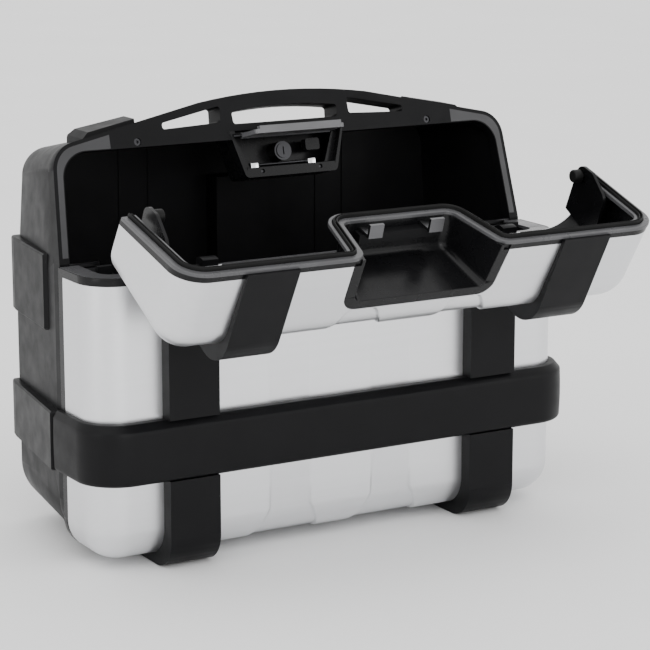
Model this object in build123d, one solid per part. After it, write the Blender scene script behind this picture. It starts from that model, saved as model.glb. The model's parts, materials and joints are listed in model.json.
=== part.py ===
from build123d import *
import math
import os

# Hard top case for a motorcycle, in millimetres.
# X runs across the case, the case opens towards -Y and +Z is up.
# The front frame has an upright lower half and an upper half that leans back.
# A place on the leaning half is given as (x, v, n): v runs up the lean and n points to the front.

# Driving dimensions of the case
CASE_HALF = 247.0
CASE_BASE = 9.0
SPLIT_Z = 272.0
SHELL_BACK = 140.0
SHELL_TAPER = 16.0
SHELL_TOP_HALF = 240.5
SHELL_TOP_TAPER = 19.5
SADDLE_IN = 150.5
SADDLE_OUT = 204.0
SADDLE_BACK = 74.0
WALL = 4.0
LOW_RADIUS = 45.0
LEAN_DEG = 14.5
WELL_HALF = 25.0
WELL_FRONT = 118.0
WELL_LOW = 150.0
WELL_HIGH = 314.0
GROOVE_IN = 93.0
GROOVE_OUT = 124.0
RAIL_DEPTH = 8.0
RAIL_X = 95.0

# Aluminium skins, straps and bumper band
SKIN_HALF = 249.0
SKIN_FRONT = 74.0
SKIN_RADIUS = 33.0
SKIN = 1.6
SKIN_TOP = 262.5
COVER_TOP = 270.0
SEAM_STRIP = 10.0
RECESS = 2.4
RECESS_X = 54.0
RECESS_HALF = 14.0
RECESS_SLOPE = 0.5
RECESS_TOP = 54.0
RECESS_BACK = -43.0
FLAP_RECESS_BACK = -37.0
FLAP_RECESS_LOW = 347.0
LATCH_X = 218.0
FLAP_HALF = 244.5
FLAP_TOP = 383.0
FLAP_TOP_RADIUS = 27.0
FLAP_TAPER_DEG = 2.0
RIM_N = 4.0
RIM_V = 113.5
STRAP_IN = 134.0
STRAP_OUT = 184.0
STRAP_FRONT = 88.0
BAND_HALF = 257.5
BAND_FRONT = 89.5
BAND_RADIUS = 41.0
BAND_LOW = 84.5
BAND_HIGH = 140.0
CHANNEL_FRONT = 82.0

# Frame and handle, on the lean
FRAME_DEPTH = 12.0
HANDLE_DEPTH = 24.0
FRAME_CORNER_V = 106.0
HANDLE_V = 142.0
HANDLE_HALF = 90.0
HANDLE_END_V = 135.0
OPENING_HALF = 237.0
OPENING_TOP_HALF = 230.5
OPENING_V = 98.5
OPENING_RADIUS = 25.0
WINDOW_V = 113.0
POST_IN = 56.5
POST_OUT = 69.0
SCREW_X = 155.5
SCREW_V = 103.5
TRIM_END = 183.0

# Lock housing, lever and bolts, on the lean
LOCK_LOW_V = 62.0
LOCK_HIGH_V = 106.5
LOCK_LOW_HALF = 49.0
LOCK_HIGH_HALF = 61.5
LOCK_DEPTH = 32.0
LOCK_WALL = 3.0
POST_WIDTH = 9.0
LEVER_V = 102.0
LEVER_N = -3.5
LEVER_REACH = 30.6
LEVER_OPEN_DEG = 90.0
BOLT_X = 31.0
BOLT_V = 67.3
BOLT_R = 2.0
BOLT_TRAVEL = 8.0
LIP_TOP_V = 71.0
KEY_V = 86.0
BUTTON_X = 32.0
BUTTON_V = 90.0

# Lock pocket of the flap, on the lean
POCKET_LOW_V = 47.0
POCKET_LOW_HALF = 55.0
POCKET_HIGH_V = 112.0
POCKET_HIGH_HALF = 69.0
POCKET_FRONT = 26.0
POCKET_ROUND = 7.0

# Hinges
FLAP_AXIS_Y = -81.0
FLAP_AXIS_Z = 270.0
FLAP_OPEN_DEG = 122.0
COVER_AXIS_Y = -3.0
COVER_AXIS_Z = 4.5
LUG_IN = 150.0
LUG_OUT = 168.0
KNUCKLE_R = 6.8
PIN_R = 2.5
LOW_KNUCKLE_R = 4.2
LOW_PIN_R = 2.0
PIN_PLAY = 0.05
GAP = 0.5

SIDES = {"left": -1, "right": 1}
FAR = 600.0
LEAN_SIN = math.sin(math.radians(LEAN_DEG))
LEAN_COS = math.cos(math.radians(LEAN_DEG))

parts = {}


def lean_y(v, n):
    return v * LEAN_SIN - n * LEAN_COS


def lean_z(v, n):
    return SPLIT_Z + v * LEAN_COS + n * LEAN_SIN


def lean_prism(sketch, n_low, n_high):
    """Extrude an (x, v) sketch from n_low to n_high along the front normal of the lean."""
    plane = Plane(origin=(0, lean_y(0, n_low), lean_z(0, n_low)), x_dir=(1, 0, 0),
                  z_dir=(0, -LEAN_COS, LEAN_SIN))
    return extrude(plane * sketch, amount=n_high - n_low)


def side_prism(sketch, x_low, x_high):
    """Extrude a (y, z) sketch across the case."""
    plane = Plane(origin=(x_low, 0, 0), x_dir=(0, 1, 0), z_dir=(1, 0, 0))
    return extrude(plane * sketch, amount=x_high - x_low)


def front_prism(sketch, y_low, y_high):
    """Extrude an (x, z) sketch along the depth of the case."""
    plane = Plane(origin=(0, y_high, 0), x_dir=(1, 0, 0), z_dir=(0, -1, 0))
    return extrude(plane * sketch, amount=y_high - y_low)


def plan_prism(sketch, z_low, z_high, taper=0.0):
    return extrude(Plane.XY.offset(z_low) * sketch, amount=z_high - z_low, taper=taper)


def polygon(*points):
    return make_face(Polyline(*points, close=True))


def round_at(sketch, radius, wanted):
    """Round the corners of a sketch that the test wanted(x, y) picks."""
    corners = [vertex for vertex in sketch.vertices() if wanted(vertex.X, vertex.Y)]
    return fillet(corners, radius)


def rod(centre_x, y, z, length, radius):
    """A round bar along X."""
    return Plane(origin=(centre_x, y, z), z_dir=(1, 0, 0)) * Cylinder(radius, length)


def box_between(low, high):
    size = [high[i] - low[i] for i in range(3)]
    middle = [(high[i] + low[i]) / 2 for i in range(3)]
    return Location(middle) * Box(*size)


def ahead_of(depth):
    """All space ahead of the frame's front surface moved back by depth."""
    kink_v = depth * (1 - LEAN_COS) / LEAN_SIN
    kink = (depth, lean_z(kink_v, -depth))
    high = (lean_y(FAR, -depth), lean_z(FAR, -depth))
    outline = polygon((-FAR, -FAR), (depth, -FAR), kink, high, (-FAR, high[1]))
    return side_prism(outline, -FAR, FAR)


def mirrored(solid, side):
    """Parts are drawn on the right; the left one is its mirror image."""
    return solid if side > 0 else mirror(solid, about=Plane.YZ)


# ---------------------------------------------------------------- shell

def shell_section(y, inset):
    """Outline of the shell at one depth: it narrows, drops and leans in towards the back."""
    share = (y - FRAME_DEPTH) / (SHELL_BACK - FRAME_DEPTH)
    half = CASE_HALF - SHELL_TAPER * share - inset
    top_half = SHELL_TOP_HALF - SHELL_TOP_TAPER * share - inset
    low = CASE_BASE + 5.0 * share + inset
    knee = SPLIT_Z - 62.0 * share
    shoulder = 376.0 - 22.0 * share - inset
    ridge = 388.0 - 26.0 * share - inset
    crown = 379.0 - 27.0 * share - inset
    right = [(half, low), (half, knee), (top_half, shoulder), (150, ridge), (128, crown)]
    left = [(-x, z) for x, z in reversed(right)]
    outline = polygon(*right, *left)
    outline = round_at(outline, LOW_RADIUS - inset, lambda x, z: z < 100)
    outline = round_at(outline, 26.0 - inset, lambda x, z: abs(x) > 210 and z > 340)
    plane = Plane(origin=(0, y, 0), x_dir=(1, 0, 0), z_dir=(0, -1, 0))
    return plane * outline


def shell_block(front, back, inset):
    return loft([shell_section(front, inset), shell_section(back, inset)], ruled=True)


def saddle_block():
    """Raised step on the shell's top, behind the shoulder of the frame."""
    outline = polygon((SADDLE_IN, 350), (SADDLE_OUT, 350), (SADDLE_OUT, 376.5), (SADDLE_OUT - 6, 382),
                      (SADDLE_IN, 391))
    block = front_prism(outline, FRAME_DEPTH, SADDLE_BACK)
    slope = side_prism(polygon((60, 400), (SADDLE_BACK + 1, 400), (SADDLE_BACK + 1, 372)), 0, FAR)
    return block - slope


def make_shell():
    outer = shell_block(2.0, SHELL_BACK, 0.0)
    rear_edges = [edge for edge in outer.edges() if edge.center().Y > SHELL_BACK - 0.5]
    outer = fillet(rear_edges, 9.0)
    inner = shell_block(0.0, SHELL_BACK - WALL, WALL)
    shell = outer - inner - ahead_of(FRAME_DEPTH)
    well = box_between((-WELL_HALF, WELL_FRONT, WELL_LOW), (WELL_HALF, SHELL_BACK + 1, WELL_HIGH))
    well_wall = box_between((-WELL_HALF - WALL, WELL_FRONT - WALL, WELL_LOW - WALL),
                            (WELL_HALF + WALL, SHELL_BACK - 1, WELL_HIGH + WALL))
    shell = shell + well_wall - well - lean_prism(lock_outline(0.3), -45, 0)
    for side in SIDES.values():
        shell = shell + (mirrored(saddle_block(), side) - outer - ahead_of(FRAME_DEPTH))
    for x in (-GROOVE_OUT, -GROOVE_IN, GROOVE_IN, GROOVE_OUT):
        groove = box_between((x - 1, SHELL_BACK - WALL - 1, 40), (x + 1, SHELL_BACK - WALL + 1.2, 350))
        shell = shell - groove
    return shell, outer


def frame_outline():
    """Outer outline of the leaning half, with the arch of the carrying handle on top."""
    arch = ThreePointArc((-HANDLE_HALF, HANDLE_END_V), (0, HANDLE_V), (HANDLE_HALF, HANDLE_END_V))
    rest = Polyline((HANDLE_HALF, HANDLE_END_V), (240, FRAME_CORNER_V - 2.5), (CASE_HALF, 0),
                    (CASE_HALF, -0.1), (-CASE_HALF, -0.1), (-CASE_HALF, 0), (-240, FRAME_CORNER_V - 2.5),
                    (-HANDLE_HALF, HANDLE_END_V))
    outline = make_face(arch.edges() + rest.edges())
    return round_at(outline, 26.0, lambda x, v: abs(x) > 230 and v > 90)


def opening_outline(grow):
    half = OPENING_HALF + grow
    top_half = OPENING_TOP_HALF + grow
    outline = polygon((-half, -40), (half, -40), (half, 0), (top_half, OPENING_V + grow),
                      (-top_half, OPENING_V + grow), (-half, 0))
    return round_at(outline, OPENING_RADIUS, lambda x, v: v > 50)


def handle_windows():
    arch = ThreePointArc((-POST_IN, 124.5), (0, 128.5), (POST_IN, 124.5))
    sides = Polyline((POST_IN, 124.5), (POST_IN - 1, WINDOW_V), (1 - POST_IN, WINDOW_V), (-POST_IN, 124.5))
    centre = round_at(make_face(arch.edges() + sides.edges()), 3.0, lambda x, v: True)
    windows = [centre]
    for side in SIDES.values():
        corners = [(POST_OUT, WINDOW_V + 2.5), (129, WINDOW_V), (129, 119), (POST_OUT - 1, 131)]
        outline = polygon(*[(side * x, v) for x, v in corners])
        windows.append(round_at(outline, 2.5, lambda x, v: True))
    return windows


def lock_outline(grow, low=LOCK_LOW_V, high=LOCK_HIGH_V):
    """Trapezium of the lock housing, wider at the top."""
    slope = (LOCK_HIGH_HALF - LOCK_LOW_HALF) / (LOCK_HIGH_V - LOCK_LOW_V)
    low_half = LOCK_LOW_HALF + (low - LOCK_LOW_V) * slope + grow
    high_half = LOCK_LOW_HALF + (high - LOCK_LOW_V) * slope + grow
    outline = polygon((-low_half, low - grow), (low_half, low - grow),
                      (high_half, high + grow), (-high_half, high + grow))
    return round_at(outline, 5.0, lambda x, v: v < 90)


def corner_trim_outline(side):
    """The flat grey land that the flap's seal meets, round one upper corner."""
    land = frame_outline() - opening_outline(0.8)
    land = land - Rectangle(2 * TRIM_END, 400) - Pos(0, -20) * Rectangle(900, 50)
    strip = Pos(side * 300, 60) * Rectangle(600, 300)
    land = land & strip
    inner_edge = offset(frame_outline(), amount=-3.5)
    return land & inner_edge


def make_frame(shell_outer):
    upper = lean_prism(frame_outline(), -FRAME_DEPTH, 0)
    arch_zone = Pos(0, WINDOW_V + 43) * Rectangle(300, 100)
    upper = upper + lean_prism(frame_outline() & arch_zone, -HANDLE_DEPTH, -FRAME_DEPTH)
    upper = upper - lean_prism(opening_outline(0), -60, 5)
    for window in handle_windows():
        upper = upper - lean_prism(window, -60, 5)
    upper = upper - lean_prism(lock_outline(0.0), -60, 5)
    lower_half = polygon((-CASE_HALF, CASE_BASE), (CASE_HALF, CASE_BASE),
                         (CASE_HALF, SPLIT_Z), (-CASE_HALF, SPLIT_Z))
    lower_half = round_at(lower_half, LOW_RADIUS, lambda x, z: z < 100)
    hole = polygon((-OPENING_HALF, 19), (OPENING_HALF, 19),
                   (OPENING_HALF, SPLIT_Z + 20), (-OPENING_HALF, SPLIT_Z + 20))
    hole = round_at(hole, LOW_RADIUS - 10, lambda x, z: z < 100)
    lower = front_prism(lower_half, 0, FRAME_DEPTH) - front_prism(hole, -5, FRAME_DEPTH + 5)
    behind = shell_outer - ahead_of(FRAME_DEPTH)
    frame = upper + lower - behind
    for side in SIDES.values():
        frame = frame - lean_prism(corner_trim_outline(side), -2.0, 1.0)
        screw = Plane(origin=(side * SCREW_X, lean_y(SCREW_V, 1), lean_z(SCREW_V, 1)),
                      z_dir=(0, -LEAN_COS, LEAN_SIN))
        frame = frame - screw * Cylinder(3.6, 10)
    return frame


def make_frame_screws():
    screws = []
    for side in SIDES.values():
        place = Plane(origin=(side * SCREW_X, lean_y(SCREW_V, -2.5), lean_z(SCREW_V, -2.5)),
                      z_dir=(0, -LEAN_COS, LEAN_SIN))
        head = place * Cylinder(3.3, 2.6)
        socket = Plane(origin=(side * SCREW_X, lean_y(SCREW_V, -1), lean_z(SCREW_V, -1)),
                       z_dir=(0, -LEAN_COS, LEAN_SIN))
        screws.append(head - socket * extrude(RegularPolygon(1.6, 6), amount=2.0, both=True))
    return Compound(screws)


def make_gasket():
    """Rubber seal between the upright half of the frame and the lower cover."""
    def outline(half, low, radius):
        sketch = polygon((-half, low), (half, low), (half, SPLIT_Z - 6), (-half, SPLIT_Z - 6))
        return round_at(sketch, radius, lambda x, z: z < 100)
    ring = outline(OPENING_HALF + 6.5, 12.5, LOW_RADIUS - 4) - outline(OPENING_HALF + 3.5, 15.5, LOW_RADIUS - 7)
    slot = polygon((-OPENING_HALF + 20, 40), (OPENING_HALF - 20, 40), (OPENING_HALF - 20, 400),
                   (-OPENING_HALF + 20, 400))
    return front_prism(ring - slot, -0.8, 0)


def make_side_bumper(side, low, high, front, proud_front, proud_back):
    """A raised pad on the tapering side of the shell, from the seam to the back."""
    def shell_x(y):
        return CASE_HALF - SHELL_TAPER * (y - FRAME_DEPTH) / (SHELL_BACK - FRAME_DEPTH)
    back = SHELL_BACK - 0.5
    plan = polygon((shell_x(front) - 6, front), (shell_x(front), front), (shell_x(front) + proud_front, front + 4),
                   (shell_x(back) + proud_back, back - 12), (shell_x(back) + proud_back - 3, back),
                   (shell_x(back) - 20, back))
    pad = plan_prism(plan, low, high)
    long_edges = [edge for edge in pad.edges().filter_by(Axis.Z, reverse=True)
                  if edge.center().X > shell_x(back) - 1]
    return mirrored(chamfer(long_edges, 1.5), side)


# ---------------------------------------------------------------- lower cover

def cover_block(inset, top):
    """The lower cover's rounded outer form, made smaller by inset."""
    half = SKIN_HALF - inset
    front = -(SKIN_FRONT - inset)
    plan = polygon((-half, front), (half, front), (half, 40), (-half, 40))
    plan = round_at(plan, SKIN_RADIUS - inset, lambda x, y: y < 0)
    block = plan_prism(plan, CASE_BASE + inset, top)
    low_edges = [edge for edge in block.edges()
                 if edge.center().Z < CASE_BASE + inset + 0.1 and edge.center().Y < 39]
    return fillet(low_edges, SKIN_RADIUS - 2.0 - inset)


def cover_recess_zone(grow):
    """Trapeziums on both sides of the middle, wider towards the bottom."""
    low = -10.0
    low_half = RECESS_HALF + (RECESS_TOP - low) * RECESS_SLOPE + grow
    high_half = RECESS_HALF + grow
    outline = polygon((RECESS_X - low_half, low), (RECESS_X + low_half, low),
                      (RECESS_X + high_half, RECESS_TOP + grow), (RECESS_X - high_half, RECESS_TOP + grow))
    outline = round_at(outline, 4.0, lambda x, z: z > 0)
    zone = front_prism(outline, -FAR, RECESS_BACK + grow)
    return zone + mirrored(zone, -1)


def flap_recess_zone(grow):
    """The same trapeziums on the flap's front top edge, wider towards the front."""
    front = -90.0
    front_half = RECESS_HALF + (FLAP_RECESS_BACK - front) * RECESS_SLOPE + grow
    back_half = RECESS_HALF + grow
    back = FLAP_RECESS_BACK + grow
    outline = polygon((RECESS_X - front_half, front), (RECESS_X + front_half, front),
                      (RECESS_X + back_half, back), (RECESS_X - back_half, back))
    outline = round_at(outline, 4.0, lambda x, y: y > -60)
    zone = plan_prism(outline, FLAP_RECESS_LOW - grow, 420.0)
    return zone + mirrored(zone, -1)


def recessed_cover(inset):
    """The lower cover's form with its two recesses, made smaller by inset."""
    depth = inset + RECESS
    profile = polygon((depth - SKIN_FRONT, 320), (depth - SKIN_FRONT, CASE_BASE + depth),
                      (90, CASE_BASE + depth), (90, 320))
    profile = round_at(profile, SKIN_RADIUS - 2.0 - depth, lambda y, z: y < 0 and z < 100)
    behind = side_prism(profile, -150, 150)
    return cover_block(inset, COVER_TOP) - (cover_recess_zone(inset) - behind)


def recessed_flap(inset):
    """The flap's form with its two recesses, made smaller by inset."""
    depth = inset + RECESS
    top = FLAP_TOP - depth
    lean_in = (top - SPLIT_Z - 0.5) * math.tan(math.radians(FLAP_TAPER_DEG))
    profile = polygon((depth - SKIN_FRONT, SPLIT_Z + 0.5), (depth - SKIN_FRONT + lean_in, top), (120, top),
                      (120, SPLIT_Z + 0.5))
    profile = round_at(profile, FLAP_TOP_RADIUS - depth, lambda y, z: y < 0 and z > 330)
    behind = side_prism(profile, -150, 150)
    return flap_block(inset) - (flap_recess_zone(inset) - behind)


def keep_front(solid, y_low, y_high):
    return solid & box_between((-FAR, y_low, -FAR), (FAR, y_high, FAR))


def strap_outline(front_low, top):
    """Side profile of a cover strap: down the front, round the bottom and back to the hinge."""
    outline = polygon((-STRAP_FRONT, 0), (COVER_AXIS_Y, 0), (COVER_AXIS_Y, 60), (-60, 60), (-60, top),
                      (-STRAP_FRONT, top))
    return round_at(outline, front_low, lambda y, z: y < -80 and z < 5)


def make_cover_strap(side, body):
    strap = side_prism(strap_outline(30.0, FLAP_AXIS_Z), STRAP_IN, STRAP_OUT)
    strap = strap + rod((STRAP_IN + STRAP_OUT) / 2, COVER_AXIS_Y, COVER_AXIS_Z, STRAP_OUT - STRAP_IN,
                        LOW_KNUCKLE_R)
    strap = strap - body
    tall = side_prism(polygon((-STRAP_FRONT, 250), (-SKIN_FRONT - 0.4, 250), (-SKIN_FRONT - 0.4, 290),
                              (-STRAP_FRONT, 290)), STRAP_IN, STRAP_OUT)
    knuckle = tall & rod(160, FLAP_AXIS_Y, FLAP_AXIS_Z, 80, 13.0)
    strap = strap + knuckle
    middle = (LUG_IN + LUG_OUT) / 2
    width = LUG_OUT - LUG_IN
    strap = strap - rod(middle, FLAP_AXIS_Y, FLAP_AXIS_Z, width + 2 * GAP, 15.2)
    strap = strap - rod(middle, FLAP_AXIS_Y, FLAP_AXIS_Z, 48.2, PIN_R + PIN_PLAY)
    strap = strap - rod(middle, COVER_AXIS_Y, COVER_AXIS_Z, width + 2 * GAP, 10.0)
    strap = strap - rod(middle, COVER_AXIS_Y, COVER_AXIS_Z, 80, LOW_PIN_R + PIN_PLAY)
    band_zone = box_between((STRAP_IN - 5, -FAR, BAND_LOW - 0.1), (STRAP_OUT + 5, -CHANNEL_FRONT, BAND_HIGH + 0.1))
    strap = strap - band_zone
    return mirrored(strap, side)


def make_band(body):
    """Thick bumper band round the lower cover, bellied across its height."""
    plan = polygon((-BAND_HALF, -BAND_FRONT), (BAND_HALF, -BAND_FRONT), (BAND_HALF, -1), (-BAND_HALF, -1))
    plan = round_at(plan, BAND_RADIUS, lambda x, y: y < -50)
    band = plan_prism(plan, BAND_LOW, BAND_HIGH)
    rims = [edge for edge in band.edges() if abs(edge.center().Z - BAND_HIGH) < 0.1 and edge.center().Y < -1.5]
    band = chamfer(rims, 5.0, 3.0)
    lows = [edge for edge in band.edges() if abs(edge.center().Z - BAND_LOW) < 0.1 and edge.center().Y < -1.5]
    band = chamfer(lows, 3.0, 3.0)
    band = band - body
    for side in SIDES.values():
        channel = box_between((STRAP_IN - 0.1, -CHANNEL_FRONT, 0), (STRAP_OUT + 0.1, 0, 300))
        band = band - mirrored(channel, side)
    return band


# ---------------------------------------------------------------- flap, drawn closed

def flap_block(inset):
    """The flap's rounded outer form, made smaller by inset and not yet cut at its rim."""
    half = FLAP_HALF - inset
    front = -(SKIN_FRONT - inset)
    plan = polygon((-half, front), (half, front), (half, 90), (-half, 90))
    plan = round_at(plan, SKIN_RADIUS - inset, lambda x, y: y < 0)
    block = plan_prism(plan, SPLIT_Z + 0.5, FLAP_TOP - inset, taper=FLAP_TAPER_DEG)
    top_edges = [edge for edge in block.edges()
                 if edge.center().Z > FLAP_TOP - inset - 0.1 and edge.center().Y < 80]
    return fillet(top_edges, FLAP_TOP_RADIUS - inset)


def lean_slab(n_low, n_high):
    return lean_prism(Rectangle(2 * FAR, 2 * FAR), n_low, n_high)


def pocket_block(grow):
    """Space of the lock pocket, open to the back and to the top, made larger by grow."""
    slope = (POCKET_HIGH_HALF - POCKET_LOW_HALF) / (POCKET_HIGH_V - POCKET_LOW_V)
    low_half = POCKET_LOW_HALF + grow
    high_v = 170.0
    high_half = POCKET_LOW_HALF + (high_v - POCKET_LOW_V) * slope + grow
    outline = polygon((-low_half, POCKET_LOW_V - grow), (low_half, POCKET_LOW_V - grow),
                      (high_half, high_v), (-high_half, high_v))
    outline = round_at(outline, 9.0 + grow, lambda x, v: v < 90)
    block = keep_front(lean_prism(outline, -20, 130), -POCKET_FRONT - grow, FAR)
    front_edges = [edge for edge in block.edges() if edge.center().Y < 0.01 - POCKET_FRONT - grow]
    return fillet(front_edges, POCKET_ROUND + grow)


def rim_outline(grow):
    """Outline of the flap's rim on the lean; its two arms run down past the split."""
    low_half = FLAP_HALF + 0.7 + grow
    high_half = FLAP_HALF - 3.9 + grow
    outline = polygon((-low_half, -20), (low_half, -20), (high_half, RIM_V + grow), (-high_half, RIM_V + grow))
    return round_at(outline, FLAP_TOP_RADIUS + grow, lambda x, v: v > 50)


def rim_ring(grow_out, grow_in, n_low, n_high):
    """A ring along the rim between two offsets, which also runs round the lock pocket."""
    whole = lean_prism(rim_outline(grow_out), n_low, n_high)
    ring = whole - lean_prism(rim_outline(grow_in), n_low - 1, n_high + 1)
    ring = ring - pocket_block(-grow_out)
    ring = ring + ((pocket_block(-grow_in) - pocket_block(-grow_out)) & whole)
    above_split = box_between((-FAR, -FAR, SPLIT_Z + 0.5), (FAR, FAR, FAR))
    return ring & above_split


def make_flap_pieces():
    trim_n = RIM_N + 3.0
    skin_n = trim_n + 5.5
    outer = recessed_flap(0.0)
    inner = recessed_flap(SKIN)
    liner_out = recessed_flap(SKIN + 0.1)
    liner_in = recessed_flap(SKIN + 3.1)
    knuckle_room = box_between((STRAP_IN - 1, -FAR, 0), (STRAP_OUT + 1, -60, FLAP_AXIS_Z + 13.4))
    knuckle_room = knuckle_room + mirrored(knuckle_room, -1)
    floor_cut = box_between((-FAR, -FAR, SPLIT_Z), (FAR, FAR, SPLIT_Z + 4.0)) + knuckle_room
    front = lean_slab(skin_n, 400)
    skin = ((outer - inner) & front) - pocket_block(9.2) - knuckle_room
    trim = ((outer - liner_out) & lean_slab(trim_n, skin_n - 0.1)) - pocket_block(0.1)
    liner = (liner_out - liner_in - pocket_block(3.1)) & lean_slab(trim_n, 400)
    pocket = (pocket_block(3.0) & outer) - pocket_block(0.0)
    collar = ((pocket_block(9.0) - pocket_block(0.0)) & (outer - liner_out)) & front
    pocket = (pocket + collar) & lean_slab(trim_n, 400)
    return {"flap_skin": skin, "flap_edge_trim": trim - pocket_block(9.0), "flap_liner": liner - floor_cut,
            "flap_rim_flange": rim_ring(0.0, -14.0, RIM_N, trim_n),
            "flap_seal": rim_ring(-6.0, -10.0, 0.6, RIM_N), "flap_lock_pocket": pocket}


def make_flap_strap(side, outer):
    """Strap over the flap: thin at the rim, thick at the front, with the middle hinge knuckle."""
    outline = polygon((40, FLAP_TOP + 2.5), (-STRAP_FRONT, FLAP_TOP + 9.0), (-STRAP_FRONT, FLAP_AXIS_Z + 13.4),
                      (-40, FLAP_AXIS_Z + 13.4), (-40, 360), (40, 360))
    outline = round_at(outline, 32.0, lambda y, z: y < -80 and z > FLAP_TOP)
    strap = side_prism(outline, STRAP_IN, STRAP_OUT)
    stem = box_between((LUG_IN, -STRAP_FRONT + 0.2, FLAP_AXIS_Z), (LUG_OUT, -SKIN_FRONT, FLAP_AXIS_Z + 20))
    middle = (LUG_IN + LUG_OUT) / 2
    knuckle = rod(middle, FLAP_AXIS_Y, FLAP_AXIS_Z, LUG_OUT - LUG_IN, KNUCKLE_R)
    lower_stem = box_between((LUG_IN, -SKIN_FRONT - 0.6, 0), (LUG_OUT, 0, FLAP_AXIS_Z + 2.0))
    strap = strap + (stem + knuckle - lower_stem)
    strap = strap - outer
    strap = strap - rod(middle, FLAP_AXIS_Y, FLAP_AXIS_Z, 60, PIN_R + PIN_PLAY)
    strap = strap & lean_slab(7.0, 400)
    return mirrored(strap, side)


def make_strike(side):
    """Steel ledge of the flap that rises against one lock bolt."""
    ledge = Pos(BOLT_X, 63.4) * Rectangle(14, 3.0)
    web = Pos(BOLT_X, 55.0) * Rectangle(14, 15.9)
    strike = lean_prism(ledge, 1.2, 14.0) + lean_prism(web, 11.0, 14.0)
    return mirrored(strike, side)


def make_strike_seat():
    """Plastic step on the pocket's lower wall that carries the two strikes."""
    step = Pos(0, 52.05) * Rectangle(84, 10.0)
    return lean_prism(step, 14.0, 22.0)


def make_flap_bumper(side):
    """Round rubber stop inside the flap's lower corner, on a short stalk."""
    knob = rod(216.5, 2.0, 283.0, 9.0, 6.0)
    stalk = rod(222.0, 2.0, 283.0, 2.0, 3.0)
    return mirrored(fillet(knob.edges(), 1.5) + stalk, side)


def make_flap_cheek(side):
    """Inner plate at the lower end of the flap's side, which carries the rubber stop."""
    outline = polygon((-40, SPLIT_Z + 8), (9, SPLIT_Z + 1.5), (14, SPLIT_Z + 22), (6, SPLIT_Z + 50), (-40, 330))
    outline = round_at(outline, 10.0, lambda y, z: y > 0)
    plate = side_prism(outline, 223.0, 226.0)
    return mirrored(plate, side)


# ---------------------------------------------------------------- lock, in the shell

def make_lock_housing():
    cup = lean_prism(lock_outline(-0.1), -LOCK_DEPTH, 0)
    inside = lock_outline(-LOCK_WALL - 0.1, LOCK_LOW_V, LOCK_HIGH_V)
    cup = cup - lean_prism(inside, LOCK_WALL - LOCK_DEPTH, 5)
    lip_v = (LOCK_LOW_V + 1 + LIP_TOP_V) / 2
    lip = Pos(0, lip_v) * Rectangle(2 * LOCK_LOW_HALF - 4, LIP_TOP_V - LOCK_LOW_V - 1)
    cup = cup + lean_prism(lip, -5.0, 0)
    for side in SIDES.values():
        cup = cup - lock_rod(side * BOLT_X, BOLT_V, -10, 5, BOLT_R + PIN_PLAY)
    posts = lock_outline(-0.2) - lock_outline(-POST_WIDTH, LOCK_LOW_V, LOCK_HIGH_V + 2 * POST_WIDTH)
    posts = posts - Pos(0, LOCK_LOW_V) * Rectangle(200, 20)
    cup = cup + lean_prism(posts, -12.0, -7.5)
    roof = Pos(0, LOCK_HIGH_V) * Rectangle(2 * LOCK_HIGH_HALF - 4 * LOCK_WALL, 12)
    cup = cup - lean_prism(roof, -9.0, 2.0)
    lever_pin = rod(0, lean_y(LEVER_V, LEVER_N), lean_z(LEVER_V, LEVER_N), 130, 1.6)
    return cup - lever_pin - lock_rod(BUTTON_X, BUTTON_V, -50, -20, 2.6)


def lock_rod(x, v, n_low, n_high, radius):
    middle = (n_low + n_high) / 2
    place = Plane(origin=(x, lean_y(v, middle), lean_z(v, middle)), z_dir=(0, -LEAN_COS, LEAN_SIN))
    return place * Cylinder(radius, n_high - n_low)


def make_lever():
    """The lever as it hangs when closed; the rest position lifts it."""
    def half(v):
        slope = (LOCK_HIGH_HALF - LOCK_LOW_HALF) / (LOCK_HIGH_V - LOCK_LOW_V)
        return LOCK_LOW_HALF + (v - LOCK_LOW_V) * slope - LOCK_WALL - 1.2
    low_v = LEVER_V - LEVER_REACH
    plate = polygon((-half(low_v), low_v), (half(low_v), low_v), (half(low_v), LEVER_V + 2), (-half(low_v), LEVER_V + 2))
    plate = round_at(plate, 4.0, lambda x, v: v < 90)
    lever = lean_prism(plate, LEVER_N - 2.0, LEVER_N + 2.0)
    grip = Pos(0, low_v + 2.5) * Rectangle(2 * half(low_v) - 8, 5)
    lever = lever + lean_prism(grip, LEVER_N - 2.0, LEVER_N + 5.0)
    barrel = rod(0, lean_y(LEVER_V, LEVER_N), lean_z(LEVER_V, LEVER_N), 2 * half(low_v), 2.9)
    lever = lever + barrel
    return lever - rod(0, lean_y(LEVER_V, LEVER_N), lean_z(LEVER_V, LEVER_N), 130, 1.6 + PIN_PLAY)


def make_bolts():
    """Two chromed bolts joined by a cross bar behind them."""
    bar = Pos(0, 75.0) * Rectangle(2 * BOLT_X + 8, 4)
    bolts = lean_prism(bar, -22.0, -18.5)
    for side in SIDES.values():
        block = Pos(side * BOLT_X, 71.5) * Rectangle(9, 12.0)
        bolts = bolts + lean_prism(block, -22.0, -14.5)
        bolts = bolts + lock_rod(side * BOLT_X, BOLT_V, -15.0, -1.5, BOLT_R)
    return bolts


def make_key_cylinder():
    barrel = lock_rod(0, KEY_V, -27.0, -12.0, 7.0)
    slot = lean_prism(Pos(0, KEY_V) * Rectangle(1.2, 7.5), -15.0, -11.0)
    return barrel - slot


def make_key_sleeve():
    sleeve = lock_rod(0, KEY_V, LOCK_WALL - LOCK_DEPTH, -13.0, 9.0)
    return sleeve - lock_rod(0, KEY_V, -40, -5, 7.0 + PIN_PLAY)


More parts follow.
